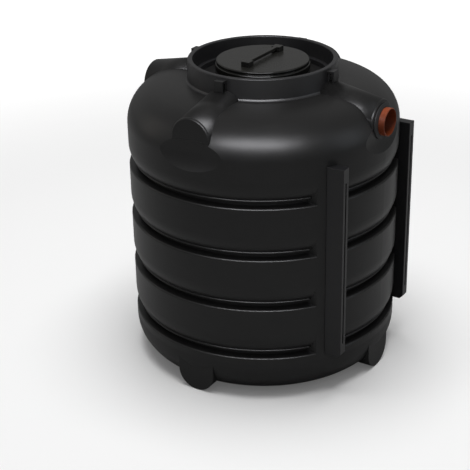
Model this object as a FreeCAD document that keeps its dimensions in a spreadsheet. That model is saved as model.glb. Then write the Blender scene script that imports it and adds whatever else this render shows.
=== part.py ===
import FreeCAD, Part
import math
import os
import re
import Sketcher

os.makedirs("parts", exist_ok=True)
doc = FreeCAD.newDocument("SepticTank")

# Driving dimensions in millimetres and degrees.
# The frame has its origin under the tank's axis on the floor, +Z up and +X along the outlet.
SIZES = [
    ("tank_radius", 550.0, "outside of the wall's full bands"),
    ("wall", 8.0, "moulded wall"),
    ("base_round", 145.0, "rounding between the bottom and the wall"),
    ("groove_first", 190.0, "lower edge of the lowest groove"),
    ("groove_pitch", 214.5, "from one groove to the next"),
    ("groove_depth", 34.0, "depth of the undercut at a groove's bottom"),
    ("groove_rise", 90.0, "height of a groove at the wall's surface"),
    ("groove_flat", 15.0, "height of the undercut under a groove's lip"),
    ("lip_depth", 22.0, "how far a groove's lip lies behind the wall's surface"),
    ("lip_round", 4.0, "rounding of a groove's lip"),
    ("ledge_rise", 5.0, "how far a groove's ledge rises inwards"),
    ("ledge_round", 8.0, "rounding of the ledge's outer edge"),
    ("band_below", 30.0, "band that a wall ring has below its groove"),
    ("top_band", 16.5, "band above the highest groove, up to the dome's skirt"),
    ("dome_skirt", 65.0, "upright skirt of the dome below its shoulder"),
    ("shoulder_radius", 150.0, "rounding of the dome's shoulder"),
    ("shoulder_angle", 74.0, "turn of the shoulder before the flatter crown"),
    ("throat_radius", 275.0, "opening in the dome under the collar"),
    ("boss_radius", 85.0, "outside of a pipe boss"),
    ("boss_inset", 19.0, "how far a boss's flat face lies behind the wall's surface"),
    ("boss_rise", 72.0, "axis of a boss above the dome's shoulder"),
    ("boss_round", 8.0, "rounding of a boss's rim"),
    ("notch_rise", 32.0, "height above the shoulder where a boss's face bends outwards"),
    ("notch_round", 170.0, "hollow rounding of the floor in front of a boss"),
    ("collar_radius", 303.0, "outside of the riser collar at its foot"),
    ("collar_draft", 4.0, "how far the collar leans in up to its rim"),
    ("collar_wall", 19.0, "thickness of the collar"),
    ("collar_rise", 86.0, "rim of the collar above the dome's crown"),
    ("rim_round", 3.0, "rounding of the rim's two edges"),
    ("step_width", 18.0, "seat ring inside the collar, across"),
    ("step_height", 20.0, "seat ring inside the collar, height"),
    ("lug_width", 38.0, "lifting lug, along the collar"),
    ("lug_reach", 26.0, "lifting lug, out from the collar"),
    ("lug_drop", 10.0, "top of a lifting lug below the rim"),
    ("lug_back", 6.0, "lifting lug, between the collar and the eye"),
    ("lug_eye", 12.0, "eye of a lifting lug, across"),
    ("lug_eye_height", 40.0, "eye of a lifting lug, height"),
    ("lug_cap", 10.0, "lifting lug above its eye"),
    ("lid_drop", 8.0, "top of the lid below the collar's rim"),
    ("lid_radius", 190.0, "outside of the lid's ring and of the neck's flange"),
    ("lid_step", 4.0, "how far the lid's plate lies inside its ring"),
    ("lid_round", 5.0, "rounding of the lid's edges"),
    ("plate_height", 10.0, "height of the lid's plate"),
    ("lid_gap", 4.0, "height and depth of the groove under the plate"),
    ("lid_core", 8.0, "lid between its groove and its seal"),
    ("skirt_depth", 12.0, "how far the lid's ring hangs below its underside"),
    ("skirt_wall", 9.0, "thickness of the lid's ring"),
    ("lid_clearance", 5.0, "between the neck and the lid's ring"),
    ("seal_height", 8.0, "lid seal, height"),
    ("seal_width", 12.0, "lid seal, across"),
    ("flange_gap", 6.0, "between the lid's ring and the neck's flange"),
    ("flange_height", 8.0, "thickness of the neck's flange"),
    ("handle_length", 268.0, "lid handle from end to end"),
    ("handle_width", 15.0, "bar of the lid handle"),
    ("handle_height", 20.0, "top of the handle above the lid"),
    ("handle_bar", 12.0, "height of the handle's bar"),
    ("block_length", 34.0, "end block of the handle, along the bar"),
    ("block_width", 36.0, "end block of the handle, across"),
    ("foot_radius", 82.0, "outside of a foot"),
    ("foot_inset", 6.0, "how far a foot's flat face lies behind the wall's surface"),
    ("rail_offset", 287.0, "middle of a side rail, from the outlet's axis"),
    ("rail_thickness", 40.0, "side rail, across"),
    ("rail_inset", 22.0, "how far the rails' outer faces lie behind the wall's furthest point"),
    ("rail_drop", 10.0, "lower end of a rail below the lowest groove's edge"),
    ("rail_gap", 25.0, "upper end of a rail below the dome's shoulder"),
    ("rail_chamfer", 14.0, "slanted lower corner of a rail"),
    ("rail_slot", 9.0, "width of the slot down a rail"),
    ("rail_slot_depth", 14.0, "depth of the slot"),
    ("rail_slot_end", 58.0, "plain end above and below the slot"),
    ("strip_margin", 28.0, "plain wall beside a rail"),
    ("pipe_radius", 55.0, "outside of the outlet stub"),
    ("pipe_wall", 3.2, "thickness of the outlet stub"),
    ("pipe_chamfer", 2.0, "slanted outer edge of the stub's end"),
    ("pipe_reach", 34.0, "how far the stub stands out of the boss's face"),
    ("pipe_inside", 102.0, "how far the stub reaches behind the boss's face"),
    ("outlet_seal_radius", 66.0, "hole in the boss face, filled by the rubber seal"),
    ("outlet_lip_radius", 71.0, "outer lip of the rubber seal"),
    ("outlet_lip", 9.0, "how far the seal stands out of the face"),
    ("outlet_lip_edge", 4.0, "thickness of the seal's outer end round the stub"),
    ("outlet_seal_depth", 16.0, "how far the seal reaches behind the face"),
    ("outlet_seat_gap", 1.0, "between the seal's lip and the flat seat cut for it"),
    ("past", 1.0, "how far a cut runs past a surface"),
]

sheet = doc.addObject("Spreadsheet::Sheet", "Sizes")
for row, (alias, value, note) in enumerate(SIZES, start=1):
    sheet.set(f"A{row}", note)
    sheet.set(f"B{row}", str(value))
    sheet.setAlias(f"B{row}", alias)
doc.recompute()

ALIASES = {alias for alias, value, note in SIZES}
GROOVES = 4
BOSS_TURNS = {"front": -90.0, "outlet": 0.0, "rear": 90.0, "inlet": 180.0}

# Heights and faces that follow from the driving dimensions, as formulas.
SPLIT = f"(groove_first + {GROOVES - 1} * groove_pitch + groove_rise + top_band)"
SHOULDER = f"({SPLIT} + dome_skirt)"
CROWN_RADIUS = "(shoulder_radius + (tank_radius - shoulder_radius - collar_radius) / cos(shoulder_angle))"
CROWN_CENTRE = f"({SHOULDER} - ({CROWN_RADIUS} - shoulder_radius) * sin(shoulder_angle))"
CROWN = f"({CROWN_CENTRE} + {CROWN_RADIUS})"
BOSS_FACE = "(tank_radius - boss_inset)"
BOSS_HEIGHT = f"({SHOULDER} + boss_rise)"
NOTCH_START = f"({SHOULDER} + notch_rise)"
COLLAR_TOP = f"({CROWN} + collar_rise)"
COLLAR_INNER = "(collar_radius - collar_draft - collar_wall)"
LUG_TOP = f"({COLLAR_TOP} - lug_drop)"
LID_TOP = f"({COLLAR_TOP} - lid_drop)"
RING_TOP = f"({LID_TOP} - plate_height - lid_gap)"
LID_UNDER = f"({RING_TOP} - lid_core)"
NECK_TOP = f"({LID_UNDER} - seal_height)"
NECK_RADIUS = "(lid_radius - skirt_wall - lid_clearance)"
FLANGE_TOP = f"({LID_UNDER} - skirt_depth - flange_gap)"
GROOVE_ARC_RISE = "(groove_rise - ledge_rise - groove_flat - lip_round)"
GROOVE_ARC = f"(({GROOVE_ARC_RISE} ^ 2 + lip_depth ^ 2) / (2 * lip_depth))"
FOOT_FACE = "(tank_radius - foot_inset)"
RAIL_FACE = "(tank_radius - rail_inset)"
RAIL_BOTTOM = "(groove_first - rail_drop)"
RAIL_TOP = f"({SHOULDER} - rail_gap)"
PIPE_END = f"({BOSS_FACE} + pipe_reach)"
PIPE_START = f"({BOSS_FACE} - pipe_inside)"


def formula(text):
    """Put the sheet's name before each size in a formula."""
    return re.sub(r"[a-z_]+", lambda m: f"Sizes.{m[0]}" if m[0] in ALIASES else m[0], str(text))


def value_of(text):
    return float(sheet.evalExpression(formula(text)))


def bind(item, prop, text):
    item.setExpression(prop, formula(text))


def start_body(name):
    return doc.addObject("PartDesign::Body", name)


def origin_plane(body, role):
    return next(item for item in body.Origin.OriginFeatures if item.Role == role)


def outline_sketch(body, name, role, corners):
    """Draw a closed outline. A corner is (x, y) or (x, y, radius, side): an arc leads from it to the next.

    Side is 1 where the arc's centre lies to the left of the way from the corner to the next, else -1.
    """
    sketch = body.newObject("Sketcher::SketchObject", name)
    sketch.AttachmentSupport = [(origin_plane(body, role), "")]
    sketch.MapMode = "FlatFace"
    points = [FreeCAD.Vector(value_of(c[0]), value_of(c[1]), 0) for c in corners]
    count = len(corners)
    for index, corner in enumerate(corners):
        start = points[index]
        end = points[(index + 1) % count]
        if len(corner) == 2:
            sketch.addGeometry(Part.LineSegment(start, end), False)
            continue
        radius = value_of(corner[2])
        chord = end.sub(start)
        height = math.sqrt(max(radius ** 2 - chord.Length ** 2 / 4, 0.0))
        left = FreeCAD.Vector(-chord.y, chord.x, 0).normalize()
        centre = start.add(chord.multiply(0.5)).add(left.multiply(height * corner[3]))
        first = math.atan2(start.y - centre.y, start.x - centre.x)
        last = math.atan2(end.y - centre.y, end.x - centre.x)
        circle = Part.Circle(centre, FreeCAD.Vector(0, 0, 1), radius)
        turn = (first, last) if corner[3] > 0 else (last, first)
        sketch.addGeometry(Part.ArcOfCircle(circle, turn[0], turn[1]), False)
    ends = [(1, 2) if len(c) == 2 or c[3] > 0 else (2, 1) for c in corners]
    for index, corner in enumerate(corners):
        following = (index + 1) % count
        joined = (index, ends[index][1], following, ends[following][0])
        sketch.addConstraint(Sketcher.Constraint("Coincident", *joined))
    for index, corner in enumerate(corners):
        places = zip(("DistanceX", "DistanceY"), corner, points[index])
        for kind, text, value in places:
            measure = Sketcher.Constraint(kind, -1, 1, index, ends[index][0], value)
            number = sketch.addConstraint(measure)
            sketch.setExpression(f"Constraints[{number}]", formula(text))
        if len(corner) > 2:
            measure = Sketcher.Constraint("Radius", index, value_of(corner[2]))
            number = sketch.addConstraint(measure)
            sketch.setExpression(f"Constraints[{number}]", formula(corner[2]))
    return sketch


def revolved(name, corners):
    """Turn an outline of radii and heights about the upright axis."""
    body = start_body(name)
    sketch = outline_sketch(body, name + "_outline", "XZ_Plane", corners)
    turned = body.newObject("PartDesign::Revolution", name + "_turned")
    turned.Profile = sketch
    turned.ReferenceAxis = (sketch, ["V_Axis"])
    turned.Angle = 360
    return body


def padded(name, role, corners, depth):
    """Push an outline out by half its depth to both sides of its plane."""
    body = start_body(name)
    sketch = outline_sketch(body, name + "_outline", role, corners)
    pad = body.newObject("PartDesign::Pad", name + "_pad")
    pad.Profile = sketch
    pad.Midplane = True
    bind(pad, "Length", depth)
    return body


def faced(body, turn):
    """Turn a body about the tank's axis, from +X to the given turn."""
    body.Placement = FreeCAD.Placement(FreeCAD.Vector(), FreeCAD.Rotation(FreeCAD.Vector(0, 0, 1), turn))
    return body


def heading_of(turn):
    return FreeCAD.Vector(math.cos(math.radians(turn)), math.sin(math.radians(turn)), 0)


def radial_turned(name, turn, corners):
    """Turn an outline of radii and distances about a boss's level axis."""
    body = revolved(name, corners)
    lean = FreeCAD.Rotation(FreeCAD.Vector(0, 0, 1), heading_of(turn))
    body.Placement = FreeCAD.Placement(FreeCAD.Vector(), lean)
    bind(body, "Placement.Base.z", BOSS_HEIGHT)
    return body


def upright_cylinder(name, radius, bottom, top):
    item = doc.addObject("Part::Cylinder", name)
    bind(item, "Radius", radius)
    bind(item, "Height", f"({top}) - ({bottom})")
    bind(item, "Placement.Base.z", bottom)
    return item


def radial_cylinder(name, turn, radius, start, end, height):
    """Lay a cylinder along a level line that leaves the tank's axis at the given turn."""
    item = doc.addObject("Part::Cylinder", name)
    lean = FreeCAD.Rotation(FreeCAD.Vector(0, 0, 1), heading_of(turn))
    item.Placement = FreeCAD.Placement(FreeCAD.Vector(), lean)
    bind(item, "Radius", radius)
    bind(item, "Height", f"({end}) - ({start})")
    bind(item, "Placement.Base.x", f"({start}) * cos({turn})")
    bind(item, "Placement.Base.y", f"({start}) * sin({turn})")
    bind(item, "Placement.Base.z", height)
    return item


def radial_box(name, turn, start, end, width, bottom, top, shift="0"):
    """Lay a box along the same kind of line, its middle shifted sideways by the last value."""
    item = doc.addObject("Part::Box", name)
    item.Placement = FreeCAD.Placement(FreeCAD.Vector(), FreeCAD.Rotation(FreeCAD.Vector(0, 0, 1), turn))
    bind(item, "Length", f"({end}) - ({start})")
    bind(item, "Width", width)
    bind(item, "Height", f"({top}) - ({bottom})")
    side = f"({shift}) - ({width}) / 2"
    bind(item, "Placement.Base.x", f"({start}) * cos({turn}) - ({side}) * sin({turn})")
    bind(item, "Placement.Base.y", f"({start}) * sin({turn}) + ({side}) * cos({turn})")
    bind(item, "Placement.Base.z", bottom)
    return item


def fused(name, items):
    item = doc.addObject("Part::MultiFuse", name)
    item.Shapes = items
    return item


def cut(name, base, tool):
    item = doc.addObject("Part::Cut", name)
    item.Base = base
    item.Tool = tool
    return item


def common(name, first, second):
    item = doc.addObject("Part::MultiCommon", name)
    item.Shapes = [first, second]
    return item


def dome_outline(inset):
    """Give half of the dome's outline, moved in from the outside by the inset."""
    joint_x = f"tank_radius - shoulder_radius + (shoulder_radius - {inset}) * cos(shoulder_angle)"
    joint_z = f"{SHOULDER} + (shoulder_radius - {inset}) * sin(shoulder_angle)"
    return [
        ("0", SPLIT),
        (f"tank_radius - {inset}", SPLIT),
        (f"tank_radius - {inset}", SHOULDER, f"shoulder_radius - {inset}", 1),
        (joint_x, joint_z, f"{CROWN_RADIUS} - {inset}", 1),
        ("collar_radius", f"{CROWN} - {inset}"),
        ("0", f"{CROWN} - {inset}"),
    ]


def notch(name, turn, inset):
    """Make the space in front of a boss: its flat face bends outwards below and meets the wall's surface."""
    face = f"{BOSS_FACE} - {inset}"
    hollow = f"(notch_round + {inset})"
    out = f"{NOTCH_START} - sqrt({hollow} ^ 2 - (notch_round + {BOSS_FACE} - tank_radius - past) ^ 2)"
    outline = [
        (face, NOTCH_START, hollow, 1),
        ("tank_radius + past", out),
        ("tank_radius + past", COLLAR_TOP),
        (face, COLLAR_TOP),
    ]
    return faced(padded(name, "XZ_Plane", outline, "2 * tank_radius"), turn)


def boss_outside(side, turn):
    """Turn the boss's outer form, with a rounded rim round its flat face."""
    return radial_turned(f"boss_{side}_outside", turn, [
        ("0", "0"),
        ("boss_radius", "0"),
        ("boss_radius", f"{BOSS_FACE} - boss_round", "boss_round", 1),
        ("boss_radius - boss_round", BOSS_FACE),
        ("0", BOSS_FACE),
    ])


def boss_inside(side, turn):
    start = "collar_radius + wall"
    end = f"{BOSS_FACE} - wall"
    return radial_cylinder(f"boss_{side}_inside", turn, "boss_radius - wall", start, end, BOSS_HEIGHT)


def outlet_hole(name):
    return radial_cylinder(name, 0, "outlet_seal_radius", PIPE_START, f"{BOSS_FACE} + past", BOSS_HEIGHT)


def make_dome():
    """Mould the dome with its four notches, and seat a boss in each."""
    outside = revolved("dome_outside", dome_outline("0"))
    inside = revolved("dome_inside", dome_outline("wall"))
    sides = BOSS_TURNS.items()
    notches = fused("notches", [notch(f"notch_{side}", turn, "0") for side, turn in sides])
    skins = fused("notch_skins", [notch(f"skin_{side}", turn, "wall") for side, turn in sides])
    shell = cut("dome_wall", cut("dome_notched", outside, notches), cut("dome_hollow", inside, skins))
    throat = upright_cylinder("dome_throat", "collar_radius", SPLIT, COLLAR_TOP)
    hollows = {side: boss_inside(side, turn) for side, turn in sides}
    seat_radius = "outlet_lip_radius + outlet_seat_gap"
    seat_end = f"{BOSS_FACE} + outlet_lip + past"
    seat = radial_cylinder("outlet_seat", 0, seat_radius, BOSS_FACE, seat_end, BOSS_HEIGHT)
    holes = [throat, outlet_hole("dome_outlet_hole"), seat]
    openings = fused("dome_openings", list(hollows.values()) + holes)
    nodes = {
        "dome_shell": cut("dome_moulding", shell, openings),
        "dome_crown": tube("crown_disc", "collar_radius", "throat_radius", f"{CROWN} - wall", CROWN),
    }
    plug = revolved("collar_plug", [
        ("0", SPLIT),
        ("collar_radius", SPLIT),
        ("collar_radius", CROWN),
        ("collar_radius - collar_draft", f"{COLLAR_TOP} - rim_round"),
        ("0", f"{COLLAR_TOP} - rim_round"),
    ])
    dome_and_collar = fused("boss_seat", [outside, plug])
    for side, turn in sides:
        hollow = hollows[side]
        if side == "outlet":
            hollow = fused("outlet_inside", [hollow, outlet_hole("boss_outlet_hole")])
        open_boss = cut(f"boss_{side}_hollow", boss_outside(side, turn), hollow)
        nodes[f"boss_{side}"] = cut(f"boss_{side}_seated", open_boss, dome_and_collar)
    return nodes, outside, plug


def make_base():
    """Mould the bottom with its large rounding, and seat the four feet against it."""
    def base_outline(inset):
        return [
            ("0", inset),
            ("tank_radius - base_round", inset, f"base_round - {inset}", 1),
            (f"tank_radius - {inset}", "base_round"),
            (f"tank_radius - {inset}", "groove_first - band_below"),
            ("0", "groove_first - band_below"),
        ]

    outside = revolved("base_outside", base_outline("0"))
    inside = revolved("base_inside", base_outline("wall"))
    wall_above = upright_cylinder("foot_seat_wall", "tank_radius", "base_round", SPLIT)
    seat = fused("foot_seat", [outside, wall_above])
    nodes = {"base_shell": cut("base_moulding", outside, inside)}
    start = "tank_radius - base_round"
    for side, turn in BOSS_TURNS.items():
        below = radial_cylinder(f"foot_{side}_round", turn, "foot_radius", start, FOOT_FACE, "foot_radius")
        upright = radial_box(
            f"foot_{side}_upright", turn, start, FOOT_FACE, "2 * foot_radius", "foot_radius", "base_round"
        )
        foot = fused(f"foot_{side}_form", [below, upright])
        nodes[f"foot_{side}"] = cut(f"foot_{side}_seated", foot, seat)
    return nodes


def ring_heights(index):
    """Give the heights of a wall ring: its groove's edge and roof, its lower end and its upper end."""
    edge = f"(groove_first + {index} * groove_pitch)"
    roof = f"({edge} + ledge_rise + groove_flat)"
    high = SPLIT if index == GROOVES - 1 else f"({edge} + groove_pitch - band_below)"
    return edge, roof, f"({edge} - band_below)", high


def ring_outline(index):
    """Give a wall ring's section: a round-edged ledge, an undercut below a lip, and a soft bend above."""
    edge, roof, low, high = ring_heights(index)
    top = f"{edge} + groove_rise"
    deep = "tank_radius - groove_depth"
    share = f"(({GROOVE_ARC} - wall) / {GROOVE_ARC})"
    inner_lip = f"tank_radius - {GROOVE_ARC} + {share} * ({GROOVE_ARC} - lip_depth)"
    return [
        ("tank_radius", low),
        ("tank_radius", f"{edge} - ledge_round", "ledge_round", 1),
        ("tank_radius - ledge_round", edge),
        (deep, f"{edge} + ledge_rise"),
        (deep, roof),
        ("tank_radius - lip_depth - lip_round", roof, "lip_round", 1),
        ("tank_radius - lip_depth", f"{roof} + lip_round", GROOVE_ARC, 1),
        ("tank_radius", top),
        ("tank_radius", high),
        ("tank_radius - wall", high),
        ("tank_radius - wall", top, f"{GROOVE_ARC} - wall", -1),
        (inner_lip, f"{top} - {share} * {GROOVE_ARC_RISE}"),
        (f"{deep} - wall", f"{roof} + wall"),
        (f"{deep} - wall", f"{edge} + ledge_rise - wall"),
        ("tank_radius - wall", f"{edge} - wall"),
        ("tank_radius - wall", low),
    ]


def tube(name, outer, inner, bottom, top):
    """Make an upright tube about the tank's axis."""
    return cut(
        name,
        upright_cylinder(name + "_outside", outer, bottom, top),
        upright_cylinder(name + "_inside", inner, bottom, top),
    )


def make_rings():
    """Make the grooved wall rings, with a plain strip of full wall behind each rail."""
    strip_width = "rail_thickness + 2 * strip_margin"
    reach = "tank_radius + past"
    nodes = {}
    for index in range(GROOVES):
        edge, _, low, high = ring_heights(index)
        ring = revolved(f"ring_{index + 1}", ring_outline(index))
        boxes = []
        sides = []
        for name, sign in (("left", "-1"), ("right", "1")):
            place = f"{sign} * rail_offset"
            boxes.append(radial_box(f"strip_{name}_{index}", 0, "0", reach, strip_width, low, high, place))
            for hand in ("-1", "1"):
                middle = f"{place} + {hand} * ({strip_width} - wall) / 2"
                side = f"strip_side_{name}_{index}_{hand}"
                sides.append(radial_box(side, 0, "0", reach, "wall", low, high, middle))
        strips = fused(f"strips_{index}", boxes)
        thin = tube(f"plain_wall_{index}", "tank_radius", "tank_radius - wall", low, high)
        thick = tube(f"deep_wall_{index}", "tank_radius", "tank_radius - groove_depth - wall", low, high)
        zone = upright_cylinder(f"groove_zone_{index}", reach, f"{edge} - wall", f"{edge} + groove_rise")
        plates = common(f"side_plates_{index}", fused(f"sides_{index}", sides), thick)
        side_walls = common(f"side_walls_{index}", plates, zone)
        strip_wall = common(f"strip_wall_{index}", strips, thin)
        open_ring = cut(f"open_ring_{index}", ring, strips)
        pieces = [open_ring, strip_wall, side_walls]
        nodes[f"wall_ring_{index + 1}"] = fused(f"ring_{index + 1}_joined", pieces)
    return nodes


def make_collar(dome_outside, plug):
    """Stand the riser collar, its floor and its lifting lugs on the dome."""
    step = f"{COLLAR_INNER} - step_width"
    nodes = {
        "collar_wall": revolved("collar_body", [
            (COLLAR_INNER, CROWN),
            ("collar_radius", CROWN),
            ("collar_radius - collar_draft", f"{COLLAR_TOP} - rim_round", "rim_round", 1),
            ("collar_radius - collar_draft - rim_round", COLLAR_TOP),
            (f"{COLLAR_INNER} + rim_round", COLLAR_TOP, "rim_round", 1),
            (COLLAR_INNER, f"{COLLAR_TOP} - rim_round"),
        ]),
        "collar_step": tube("step_ring", COLLAR_INNER, step, CROWN, f"{CROWN} + step_height"),
        "collar_floor": tube("floor_disc", "throat_radius", NECK_RADIUS, f"{CROWN} - wall", CROWN),
    }
    reach = "collar_radius + lug_reach"
    eye_start = "collar_radius + lug_back"
    eye_top = f"{LUG_TOP} - lug_cap"
    for side, turn in BOSS_TURNS.items():
        block = radial_box(f"lug_{side}_block", turn, "0", reach, "lug_width", SPLIT, LUG_TOP)
        eye = radial_box(
            f"lug_{side}_eye", turn, eye_start, f"{eye_start} + lug_eye", "2 * lug_width",
            f"{eye_top} - lug_eye_height", eye_top
        )
        boss = radial_cylinder(f"lug_{side}_boss", turn, "boss_radius", "0", BOSS_FACE, BOSS_HEIGHT)
        seat = fused(f"lug_{side}_seat", [dome_outside, plug, boss])
        pierced = cut(f"lug_{side}_pierced", block, eye)
        nodes[f"lifting_lug_{side}"] = cut(f"lug_{side}_seated", pierced, seat)
    return nodes


def make_manhole():
    """Make the flanged neck, its seal and the lift-off lid with its bar handle."""
    neck = revolved("neck_body", [
        (f"{NECK_RADIUS} - wall", f"{CROWN} - wall"),
        (NECK_RADIUS, f"{CROWN} - wall"),
        (NECK_RADIUS, f"{FLANGE_TOP} - flange_height"),
        ("lid_radius", f"{FLANGE_TOP} - flange_height"),
        ("lid_radius", FLANGE_TOP),
        (NECK_RADIUS, FLANGE_TOP),
        (NECK_RADIUS, NECK_TOP),
        (f"{NECK_RADIUS} - seal_width", NECK_TOP),
        (f"{NECK_RADIUS} - seal_width", f"{NECK_TOP} - wall"),
        (f"{NECK_RADIUS} - wall", f"{NECK_TOP} - wall"),
    ])
    seal = tube("seal_body", NECK_RADIUS, f"{NECK_RADIUS} - seal_width", NECK_TOP, LID_UNDER)
    plate = "lid_radius - lid_step"
    lid = revolved("lid_body", [
        ("0", LID_UNDER),
        ("lid_radius - skirt_wall", LID_UNDER),
        ("lid_radius - skirt_wall", f"{LID_UNDER} - skirt_depth"),
        ("lid_radius", f"{LID_UNDER} - skirt_depth"),
        ("lid_radius", f"{RING_TOP} - lid_round", "lid_round", 1),
        ("lid_radius - lid_round", RING_TOP),
        (f"{plate} - lid_gap", RING_TOP),
        (f"{plate} - lid_gap", f"{RING_TOP} + lid_gap"),
        (plate, f"{RING_TOP} + lid_gap"),
        (plate, f"{LID_TOP} - lid_round", "lid_round", 1),
        (f"{plate} - lid_round", LID_TOP),
        ("0", LID_TOP),
    ])
    handle_end = "handle_length / 2"
    handle_top = f"{LID_TOP} + handle_height"
    bar = radial_box(
        "handle_bar_box", -90, f"0 - {handle_end}", handle_end, "handle_width",
        f"{handle_top} - handle_bar", handle_top
    )
    blocks = []
    for index, start in enumerate((f"0 - {handle_end}", f"{handle_end} - block_length")):
        end = f"{start} + block_length"
        blocks.append(radial_box(f"handle_block_{index}", -90, start, end, "block_width", LID_TOP, handle_top))
    handle = fused("handle_joined", [bar] + blocks)
    return {"manhole_neck": neck, "lid_seal": seal, "lid": lid, "lid_handle": handle}


def make_rails():
    """Make the two slotted rails that stand beside the outlet."""
    tank = upright_cylinder("rail_seat", "tank_radius", "0", COLLAR_TOP)
    nodes = {}
    for name, sign in (("left", "-1"), ("right", "1")):
        place = f"{sign} * rail_offset"
        plate = padded(f"rail_{name}_plate", "XZ_Plane", [
            ("0", RAIL_BOTTOM),
            (f"{RAIL_FACE} - rail_chamfer", RAIL_BOTTOM),
            (RAIL_FACE, f"{RAIL_BOTTOM} + rail_chamfer"),
            (RAIL_FACE, RAIL_TOP),
            ("0", RAIL_TOP),
        ], "rail_thickness")
        bind(plate, "Placement.Base.y", place)
        slot = radial_box(
            f"rail_{name}_slot", 0, f"{RAIL_FACE} - rail_slot_depth", f"{RAIL_FACE} + past", "rail_slot",
            f"{RAIL_BOTTOM} + rail_slot_end", f"{RAIL_TOP} - rail_slot_end", place
        )
        slotted = cut(f"rail_{name}_slotted", plate, slot)
        nodes[f"side_rail_{name}"] = cut(f"rail_{name}_seated", slotted, tank)
    return nodes


def make_outlet():
    """Make the pipe stub and the rubber seal that holds it in the boss face."""
    inner = "pipe_radius - pipe_wall"
    stub = radial_turned("stub_body", 0, [
        (inner, PIPE_START),
        ("pipe_radius", PIPE_START),
        ("pipe_radius", f"{PIPE_END} - pipe_chamfer"),
        ("pipe_radius - pipe_chamfer", PIPE_END),
        (inner, PIPE_END),
    ])
    seal = radial_turned("outlet_seal_body", 0, [
        ("pipe_radius", f"{BOSS_FACE} - outlet_seal_depth"),
        ("outlet_seal_radius", f"{BOSS_FACE} - outlet_seal_depth"),
        ("outlet_seal_radius", BOSS_FACE),
        ("outlet_lip_radius", BOSS_FACE),
        ("outlet_lip_radius", f"{BOSS_FACE} + outlet_lip / 2"),
        ("pipe_radius + outlet_lip_edge", f"{BOSS_FACE} + outlet_lip"),
        ("pipe_radius", f"{BOSS_FACE} + outlet_lip"),
    ])
    return {"outlet_stub": stub, "outlet_seal": seal}


nodes, dome_outside, collar_plug = make_dome()
nodes.update(make_base())
nodes.update(make_rings())
nodes.update(make_collar(dome_outside, collar_plug))
nodes.update(make_manhole())
nodes.update(make_rails())
nodes.update(make_outlet())
for label, item in nodes.items():
    item.Label = label
doc.recompute()

failed = [item.Name for item in doc.Objects if {"Invalid", "Error"} & set(item.State)]
if failed:
    raise RuntimeError("failed objects: " + ", ".join(failed))
for label, item in nodes.items():
    if item.Shape.isNull() or not item.Shape.isValid():
        raise RuntimeError("bad shape: " + label)
    print(label, len(item.Shape.Solids), round(item.Shape.Volume / 1000.0, 1), "cm3")
for label, item in nodes.items():
    item.Shape.exportStep(f"parts/{label}.step")
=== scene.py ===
import math

import bmesh
import bpy
from mathutils import Matrix, Vector


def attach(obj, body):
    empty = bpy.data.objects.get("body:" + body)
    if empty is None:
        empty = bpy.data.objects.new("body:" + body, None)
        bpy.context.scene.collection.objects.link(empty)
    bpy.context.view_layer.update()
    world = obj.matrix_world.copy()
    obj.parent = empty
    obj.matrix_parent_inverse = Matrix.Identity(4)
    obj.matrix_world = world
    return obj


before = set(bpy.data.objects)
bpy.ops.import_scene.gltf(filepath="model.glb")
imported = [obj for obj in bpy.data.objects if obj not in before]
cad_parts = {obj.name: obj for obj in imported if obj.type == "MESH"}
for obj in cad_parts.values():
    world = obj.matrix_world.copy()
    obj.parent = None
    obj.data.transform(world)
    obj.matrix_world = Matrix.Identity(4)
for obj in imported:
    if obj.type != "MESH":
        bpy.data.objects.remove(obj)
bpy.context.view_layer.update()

# The photograph's view: a long lens above the front of the tank, turned towards the outlet's side.
# The tank's axis stands a little right of the middle of the frame.
CAMERA_TURN = math.radians(30.95)
CAMERA_DISTANCE = 4.823
CAMERA_HEIGHT = 2.749
CAMERA_YAW = math.radians(-1.47)
CAMERA_PITCH = math.radians(25.28)
CAMERA_ROLL = math.radians(-1.12)
FOCAL_PIXELS = 1259
PHOTO_SIDE = 470
FILM_WIDTH = 36

camera_place = Vector((math.sin(CAMERA_TURN), -math.cos(CAMERA_TURN), 0)) * CAMERA_DISTANCE
camera_place.z = CAMERA_HEIGHT
heading = math.atan2(-camera_place.y, -camera_place.x) - CAMERA_YAW
forward = Vector((
    math.cos(heading) * math.cos(CAMERA_PITCH), math.sin(heading) * math.cos(CAMERA_PITCH), -math.sin(CAMERA_PITCH)
))
level = Vector((math.sin(heading), -math.cos(heading), 0))
upright = level.cross(forward)
right = level * math.cos(CAMERA_ROLL) + upright * math.sin(CAMERA_ROLL)
above = upright * math.cos(CAMERA_ROLL) - level * math.sin(CAMERA_ROLL)
camera = bpy.data.objects.new("camera", bpy.data.cameras.new("camera"))
bpy.context.scene.collection.objects.link(camera)
camera.matrix_world = Matrix.Translation(camera_place) @ Matrix((right, above, -forward)).transposed().to_4x4()
camera.data.sensor_width = FILM_WIDTH
camera.data.lens = FILM_WIDTH * FOCAL_PIXELS / PHOTO_SIDE
bpy.context.scene.camera = camera
bpy.context.scene.view_settings.view_transform = "Standard"

# The studio: a wide matt board for a floor that turns white far behind the tank, under a pale sky.
# A wide soft box high in front and two weak ones at the sides only show as shine, and one overhead only lights
# dull surfaces, so that the black plastic stays deep on a bright floor.
FLOOR_HALF = 30.0
FLOOR_GREY = 0.8
FLOOR_BOUNCE = 0.34
FLOOR_ROUGHNESS = 0.9
FLOOR_GLOSS = 0.1
LIFT_NEAR = 0.08
LIFT_FAR = 0.9
LIFT_START = 2.0
LIFT_END = 6.5
WORLD_GREY = 0.25
BLACK = (0, 0, 0)
WHITE = (1, 1, 1)
FRONT_TINT = (0.96, 0.96, 1)
LEFT_TINT = (1, 0.93, 0.85)
RIGHT_TINT = (0.85, 0.92, 1)
FIRST_COLOUR = 6
SECOND_COLOUR = 7
MIXED_COLOUR = 2


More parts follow.
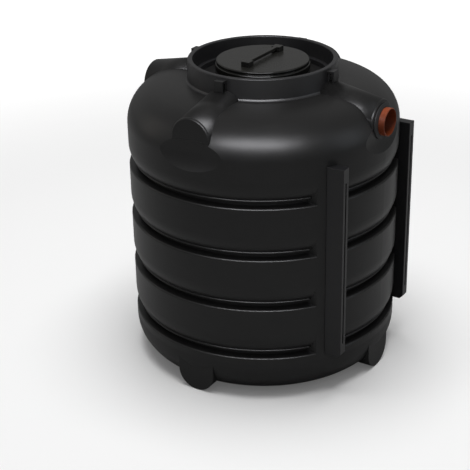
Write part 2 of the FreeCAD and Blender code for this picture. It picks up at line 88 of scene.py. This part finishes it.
class Wire:
    """A shader socket that takes part in sums, so that a pattern reads as a formula."""

    def __init__(self, tree, socket):
        self.tree = tree
        self.socket = socket

    def math(self, operation, *values):
        return shader_node(self.tree, "ShaderNodeMath", {"operation": operation}, dict(enumerate(values)))

    def __add__(self, other):
        return self.math("ADD", self, other)

    def __mul__(self, other):
        return self.math("MULTIPLY", self, other)

    __radd__ = __add__
    __rmul__ = __mul__


def shader_node(tree, kind, settings=None, inputs=None, output=0):
    """Add a node: its settings first, then the values or links of its sockets."""
    node = tree.nodes.new(kind)
    for name, value in (settings or {}).items():
        setattr(node, name, value)
    for name, value in (inputs or {}).items():
        if isinstance(value, Wire):
            tree.links.new(value.socket, node.inputs[name])
        else:
            node.inputs[name].default_value = value
    return Wire(tree, node.outputs[output])


def blend(tree, share, first, second):
    """Mix two colours. The Mix node's colour sockets share their names with its others, so they go by number."""
    return shader_node(tree, "ShaderNodeMix", {"data_type": "RGBA"}, {
        "Factor": share, FIRST_COLOUR: (*first, 1), SECOND_COLOUR: (*second, 1)
    }, output=MIXED_COLOUR)


def shaded(colour, factor):
    """Make a colour darker or lighter."""
    return [factor * part for part in colour]


def new_material(name):
    """Start a material, and give its nodes and its surface shader as well."""
    material = bpy.data.materials.new(name)
    material.use_nodes = True
    return material, material.node_tree, material.node_tree.nodes["Principled BSDF"]


floor_mesh = bmesh.new()
bmesh.ops.create_grid(floor_mesh, x_segments=1, y_segments=1, size=FLOOR_HALF)
floor = bpy.data.objects.new("floor", bpy.data.meshes.new("floor"))
floor_mesh.to_mesh(floor.data)
floor_mesh.free()
bpy.context.scene.collection.objects.link(floor)

floor_board, tree, surface = new_material("floor_board")
seen = shader_node(tree, "ShaderNodeLightPath", output="Is Camera Ray")
place = shader_node(tree, "ShaderNodeTexCoord", output="Object")
reach = shader_node(tree, "ShaderNodeVectorMath", {"operation": "LENGTH"}, {0: place}, output="Value")
lift = shader_node(tree, "ShaderNodeMapRange", {"interpolation_type": "SMOOTHSTEP"}, {
    "Value": reach, "From Min": LIFT_START, "From Max": LIFT_END, "To Min": LIFT_NEAR, "To Max": LIFT_FAR
})
tree.links.new(blend(tree, seen * lift, BLACK, WHITE).socket, surface.inputs["Emission Color"])
surface.inputs["Emission Strength"].default_value = 1
board = blend(tree, seen, shaded(WHITE, FLOOR_BOUNCE), shaded(WHITE, FLOOR_GREY))
tree.links.new(board.socket, surface.inputs["Base Color"])
surface.inputs["Roughness"].default_value = FLOOR_ROUGHNESS
surface.inputs["Specular IOR Level"].default_value = FLOOR_GLOSS
floor.data.materials.append(floor_board)

world = bpy.data.worlds.new("studio")
bpy.context.scene.world = world
world.use_nodes = True
sky = world.node_tree
seen_sky = shader_node(sky, "ShaderNodeLightPath", output="Is Camera Ray")
sky.links.new(blend(sky, seen_sky, shaded(WHITE, WORLD_GREY), WHITE).socket, sky.nodes["Background"].inputs["Color"])


def soft_box(name, place, target, size, power, tint=WHITE, diffuse=True, glossy=True):
    """Hang an area light that faces its target, seen by dull surfaces, by shiny ones or by both."""
    lamp = bpy.data.lights.new(name, "AREA")
    lamp.shape = "RECTANGLE"
    lamp.size, lamp.size_y = size
    lamp.energy = power
    lamp.color = tint
    holder = bpy.data.objects.new(name, lamp)
    bpy.context.scene.collection.objects.link(holder)
    holder.visible_camera = False
    holder.visible_diffuse = diffuse
    holder.visible_glossy = glossy
    holder.location = place
    holder.rotation_euler = (Vector(place) - Vector(target)).to_track_quat("Z", "Y").to_euler()


soft_box(
    "front_box", place=(1.82, -4.29, 4.78), target=(0, 0, 1.0), size=(5.8, 2.0), power=540, tint=FRONT_TINT,
    diffuse=False
)
soft_box("top_box", place=(0, 0, 8), target=(0, 0, 0), size=(5.0, 5.0), power=610, glossy=False)
soft_box(
    "left_box", place=(-4.5, -1.5, 2.2), target=(0, 0, 0.6), size=(2.0, 3.0), power=9, tint=LEFT_TINT,
    diffuse=False
)
soft_box(
    "right_box", place=(4.5, 1.0, 2.4), target=(0, 0, 0.6), size=(2.0, 3.0), power=20, tint=RIGHT_TINT,
    diffuse=False
)

# The bottom and its four half-round feet are moulded with the tank, from black polyethylene powder.
# The melted powder leaves a satin skin, faintly uneven. Pieces with sharp corners catch the light along them.
SIDES = {"front": -90, "outlet": 0, "rear": 90, "inlet": 180}
PLASTIC_BLACK = 0.008
DARK_TINT = (0.85, 0.84, 0.83)
LIGHT_TINT = (1.2, 1.18, 1.17)
SKIN_GRAIN = 420.0
GRAIN_DETAIL = 2.0
SKIN_WAVES = 9.0
WAVE_DETAIL = 3.0
WAVE_ROUGHNESS = 0.06
GRAIN_ROUGHNESS = 0.04
MEAN_ROUGHNESS = 0.05
WAVE_RELIEF = 6.0
RELIEF_STRENGTH = 0.1
RELIEF_DEPTH = 0.001
EDGE_ROUND = 0.0035
EDGE_SAMPLES = 8


def noise(tree, place, scale, detail):
    """Add a cloudy pattern that stays with the piece."""
    return shader_node(tree, "ShaderNodeTexNoise", {}, {"Vector": place, "Scale": scale, "Detail": detail})


def moulded_plastic(name, shade=1.0, roughness=0.4, cool=1.0, gloss=0.38, edge_round=EDGE_ROUND):
    """Make the satin black of a moulded piece. Its shade and cool make the colour lighter, darker or bluer; for some
    pieces that is painted sheen or painted shade.
    """
    material, tree, surface = new_material(name)
    place = shader_node(tree, "ShaderNodeTexCoord", output="Object")
    waves = noise(tree, place, SKIN_WAVES, WAVE_DETAIL)
    grain = noise(tree, place, SKIN_GRAIN, GRAIN_DETAIL)
    dark, light = (
        shaded((red, green, blue * cool), PLASTIC_BLACK * shade) for red, green, blue in (DARK_TINT, LIGHT_TINT)
    )
    tree.links.new(blend(tree, waves, dark, light).socket, surface.inputs["Base Color"])
    skin = roughness - MEAN_ROUGHNESS + WAVE_ROUGHNESS * waves + GRAIN_ROUGHNESS * grain
    tree.links.new(skin.socket, surface.inputs["Roughness"])
    relief = {"Strength": RELIEF_STRENGTH, "Distance": RELIEF_DEPTH, "Height": grain + WAVE_RELIEF * waves}
    if edge_round:
        relief["Normal"] = shader_node(tree, "ShaderNodeBevel", {"samples": EDGE_SAMPLES}, {"Radius": edge_round})
    tree.links.new(shader_node(tree, "ShaderNodeBump", {}, relief).socket, surface.inputs["Normal"])
    surface.inputs["Specular IOR Level"].default_value = gloss
    return material


def finish_nodes(names, material):
    """Give nodes of the frame their finish."""
    for name in names:
        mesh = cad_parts[name].data
        mesh.materials.clear()
        mesh.materials.append(material)


base_plastic = moulded_plastic("base_plastic", roughness=0.44, edge_round=0)
finish_nodes(["base_shell"] + [f"foot_{side}" for side in SIDES], base_plastic)

# The wall is four like rings, each with one groove that stiffens it: a ledge, an undercut below a lip and a
# soft bend back to the full band. The lip ends in a narrow rolled bead, modelled here, that stops at the plain
# strips beside the rails.
BEAD_ROUND = 0.0045
BEAD_SEGMENTS = 12
BEAD_REACH = 0.5265
BEAD_HEIGHTS = (0.213, 0.4275, 0.642, 0.8565)
BEAD_ARCS = ((-27.5, 27.5, 48), (38.8, 321.2, 200))


def tank_piece(name, shape, material):
    """Turn a bmesh into a piece that is moulded on the tank."""
    piece = bpy.data.objects.new(name, bpy.data.meshes.new(name))
    shape.to_mesh(piece.data)
    shape.free()
    piece.data.materials.append(material)
    bpy.context.scene.collection.objects.link(piece)
    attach(piece, "tank")


wall_plastic = moulded_plastic("wall_plastic", roughness=0.35, gloss=0.4, edge_round=0)
finish_nodes([f"wall_ring_{index}" for index in (1, 2, 3, 4)], wall_plastic)

rolled = bmesh.new()
for height in BEAD_HEIGHTS:
    for start, end, steps in BEAD_ARCS:
        ring = bmesh.ops.create_circle(
            rolled, cap_ends=False, segments=BEAD_SEGMENTS, radius=BEAD_ROUND,
            matrix=Matrix.Rotation(math.radians(start), 4, "Z") @ Matrix.Translation((BEAD_REACH, 0, height))
            @ Matrix.Rotation(math.pi / 2, 4, "X")
        )["verts"]
        loop = list({edge for corner in ring for edge in corner.link_edges})
        far = bmesh.ops.spin(
            rolled, geom=ring + loop, cent=(0, 0, 0), axis=(0, 0, 1), angle=math.radians(end - start), steps=steps
        )["geom_last"]
        bmesh.ops.holes_fill(rolled, edges=loop + [item for item in far if isinstance(item, bmesh.types.BMEdge)])
bmesh.ops.recalc_face_normals(rolled, faces=rolled.faces[:])
for face in rolled.faces:
    face.smooth = len(face.verts) == 4
tank_piece("groove_beads", rolled, wall_plastic)

# Two slotted rails stand against the wall beside the outlet and take the straps that hold the tank.
# They are of the tank's own plastic, with sharper corners and a painted sheen: their colour is slightly lighter and
# bluer.
rail_plastic_painted_sheen = moulded_plastic("rail_plastic_painted_sheen", shade=1.05, roughness=0.36, cool=1.12, gloss=0.45)
finish_nodes(["side_rail_left", "side_rail_right"], rail_plastic_painted_sheen)

# The dome closes the tank. Its shoulder is smooth, with a hollow in front of each pipe boss.
# It is moulded in one go with the wall, and its satin skin shows the soft box as one broad band.
dome_plastic = moulded_plastic("dome_plastic", shade=1.15, roughness=0.38, edge_round=0)
finish_nodes(["dome_shell", "dome_crown"], dome_plastic)

# The four pipe bosses are short level drums with flat faces, moulded on the dome. Behind each face the drum's back
# climbs to the collar's foot, so that it stiffens the dome there. The backs are modelled here, over the dome.
BOSS_RADIUS = 0.085
BOSS_SEGMENTS = 96
BOSS_HEIGHT = 1.077
BACK_START = 0.522
BACK_END = 0.292
BACK_MIDDLE = (BACK_START + BACK_END) / 2
BACK_CLIMB = 0.046
BACK_FLOOR_OUT = 1.062
BACK_FLOOR_IN = 1.145
SIDE_FACE_AREA = 0.004

boss_plastic = moulded_plastic("boss_plastic", shade=1.1, roughness=0.38)
finish_nodes([f"boss_{side}" for side in SIDES], boss_plastic)
back_floor = Vector((BACK_END - BACK_START, 0, BACK_FLOOR_IN - BACK_FLOOR_OUT))
for side, turn in SIDES.items():
    drum = bmesh.new()
    bmesh.ops.create_cone(
        drum, cap_ends=True, segments=BOSS_SEGMENTS, radius1=BOSS_RADIUS, radius2=BOSS_RADIUS,
        depth=BACK_START - BACK_END,
        matrix=Matrix.Translation((BACK_MIDDLE, 0, BOSS_HEIGHT)) @ Matrix.Rotation(math.pi / 2, 4, "Y")
    )
    inner_end = [corner for corner in drum.verts if corner.co.x < BACK_MIDDLE]
    bmesh.ops.translate(drum, vec=(0, 0, BACK_CLIMB), verts=inner_end)
    cut = bmesh.ops.bisect_plane(
        drum, geom=drum.verts[:] + drum.edges[:] + drum.faces[:], plane_co=(BACK_START, 0, BACK_FLOOR_OUT),
        plane_no=back_floor.cross(Vector((0, 1, 0))), clear_outer=True
    )
    bmesh.ops.holes_fill(drum, edges=[edge for edge in cut["geom_cut"] if isinstance(edge, bmesh.types.BMEdge)])
    bmesh.ops.recalc_face_normals(drum, faces=drum.faces[:])
    bmesh.ops.rotate(drum, matrix=Matrix.Rotation(math.radians(turn), 3, "Z"), verts=drum.verts[:])
    for face in drum.faces:
        face.smooth = len(face.verts) == 4 and face.calc_area() < SIDE_FACE_AREA
    tank_piece(f"boss_back_{side}", drum, boss_plastic)

# The outlet is a stub of orange drain pipe, held in the outlet boss by a rubber ring.
# The pipe is extruded, so its skin is even, with faint rub marks.
PIPE_ORANGE = (0.2, 0.042, 0.014)
PIPE_GLOSS = 0.25
PIPE_MARKS = 60.0
MARKS_DETAIL = 4.0
MARKS_DARK = 0.85
MARKS_LIGHT = 1.12
PIPE_ROUGHNESS = 0.3
MARKS_ROUGHNESS = 0.12

pipe_plastic, tree, surface = new_material("pipe_plastic")
place = shader_node(tree, "ShaderNodeTexCoord", output="Object")
marks = noise(tree, place, PIPE_MARKS, MARKS_DETAIL)
tint = blend(tree, marks, shaded(PIPE_ORANGE, MARKS_DARK), shaded(PIPE_ORANGE, MARKS_LIGHT))
tree.links.new(tint.socket, surface.inputs["Base Color"])
tree.links.new((PIPE_ROUGHNESS + MARKS_ROUGHNESS * marks).socket, surface.inputs["Roughness"])
surface.inputs["Specular IOR Level"].default_value = PIPE_GLOSS
finish_nodes(["outlet_stub"], pipe_plastic)

# Two rings of black rubber seal the tank: one round the outlet stub, and one that the lid rests on.
# They are moulded separately and pushed on, and have the dull bloom of rubber.
RUBBER_BLACK = 0.008
RUBBER_BLOOM = 90.0
BLOOM_DETAIL = 3.0
BLOOM_LIGHT = 2
RUBBER_ROUGHNESS = 0.55
BLOOM_ROUGHNESS = 0.15

seal_rubber, tree, surface = new_material("seal_rubber")
place = shader_node(tree, "ShaderNodeTexCoord", output="Object")
bloom = noise(tree, place, RUBBER_BLOOM, BLOOM_DETAIL)
tint = blend(tree, bloom, shaded(WHITE, RUBBER_BLACK), shaded(WHITE, RUBBER_BLACK * BLOOM_LIGHT))
tree.links.new(tint.socket, surface.inputs["Base Color"])
tree.links.new((RUBBER_ROUGHNESS + BLOOM_ROUGHNESS * bloom).socket, surface.inputs["Roughness"])
finish_nodes(["outlet_seal", "lid_seal"], seal_rubber)

# The riser collar stands on the crown, moulded with it, and has a seat ring inside for the next section.
# Its foot is rounded into the crown, modelled here as a narrow turned fillet.
FILLET_LINE = ((0.3125, 1.1672), (0.3085, 1.1688), (0.3052, 1.1716), (0.3029, 1.177))
FILLET_STEPS = 192

# The collar's colour is painted lighter and bluer than the tank's: a painted sheen on the same black plastic.
collar_plastic_painted_sheen = moulded_plastic("collar_plastic_painted_sheen", shade=1.3, roughness=0.4, cool=1.1, gloss=0.6)
finish_nodes(["collar_wall", "collar_step"], collar_plastic_painted_sheen)
turned = bmesh.new()
line = [turned.verts.new((reach, 0, height)) for reach, height in FILLET_LINE]
strips = [turned.edges.new(pair) for pair in zip(line, line[1:])]
bmesh.ops.spin(
    turned, geom=line + strips, cent=(0, 0, 0), axis=(0, 0, 1), angle=math.tau, steps=FILLET_STEPS, use_merge=True
)
bmesh.ops.recalc_face_normals(turned, faces=turned.faces[:])
for face in turned.faces:
    face.smooth = True
tank_piece("collar_fillet", turned, collar_plastic_painted_sheen)

# Four lifting lugs stand on the collar, one over each boss, each with an eye for a strap.
# They are moulded with the collar and are rubbed a little smoother.
lug_plastic = moulded_plastic("lug_plastic", shade=1.2, roughness=0.34, cool=1.05, gloss=0.5)
finish_nodes([f"lifting_lug_{side}" for side in SIDES], lug_plastic)

# The collar's floor and the manhole's neck close the well inside the collar.
# They are moulded with the crown and lie in shade, with a duller skin and a colour darkened as painted shade.
well_plastic_painted_shade = moulded_plastic("well_plastic_painted_shade", shade=0.8, roughness=0.46)
finish_nodes(["collar_floor", "manhole_neck"], well_plastic_painted_shade)

# The lid lifts straight off its neck. It is a turned disc with a second ring under the plate and a bar handle
# between two end blocks, moulded from the same black plastic, with a slightly warmer and smoother skin.
lid_plastic = moulded_plastic("lid_plastic", shade=1.1, roughness=0.28, cool=0.9, gloss=0.38)
finish_nodes(["lid", "lid_handle"], lid_plastic)
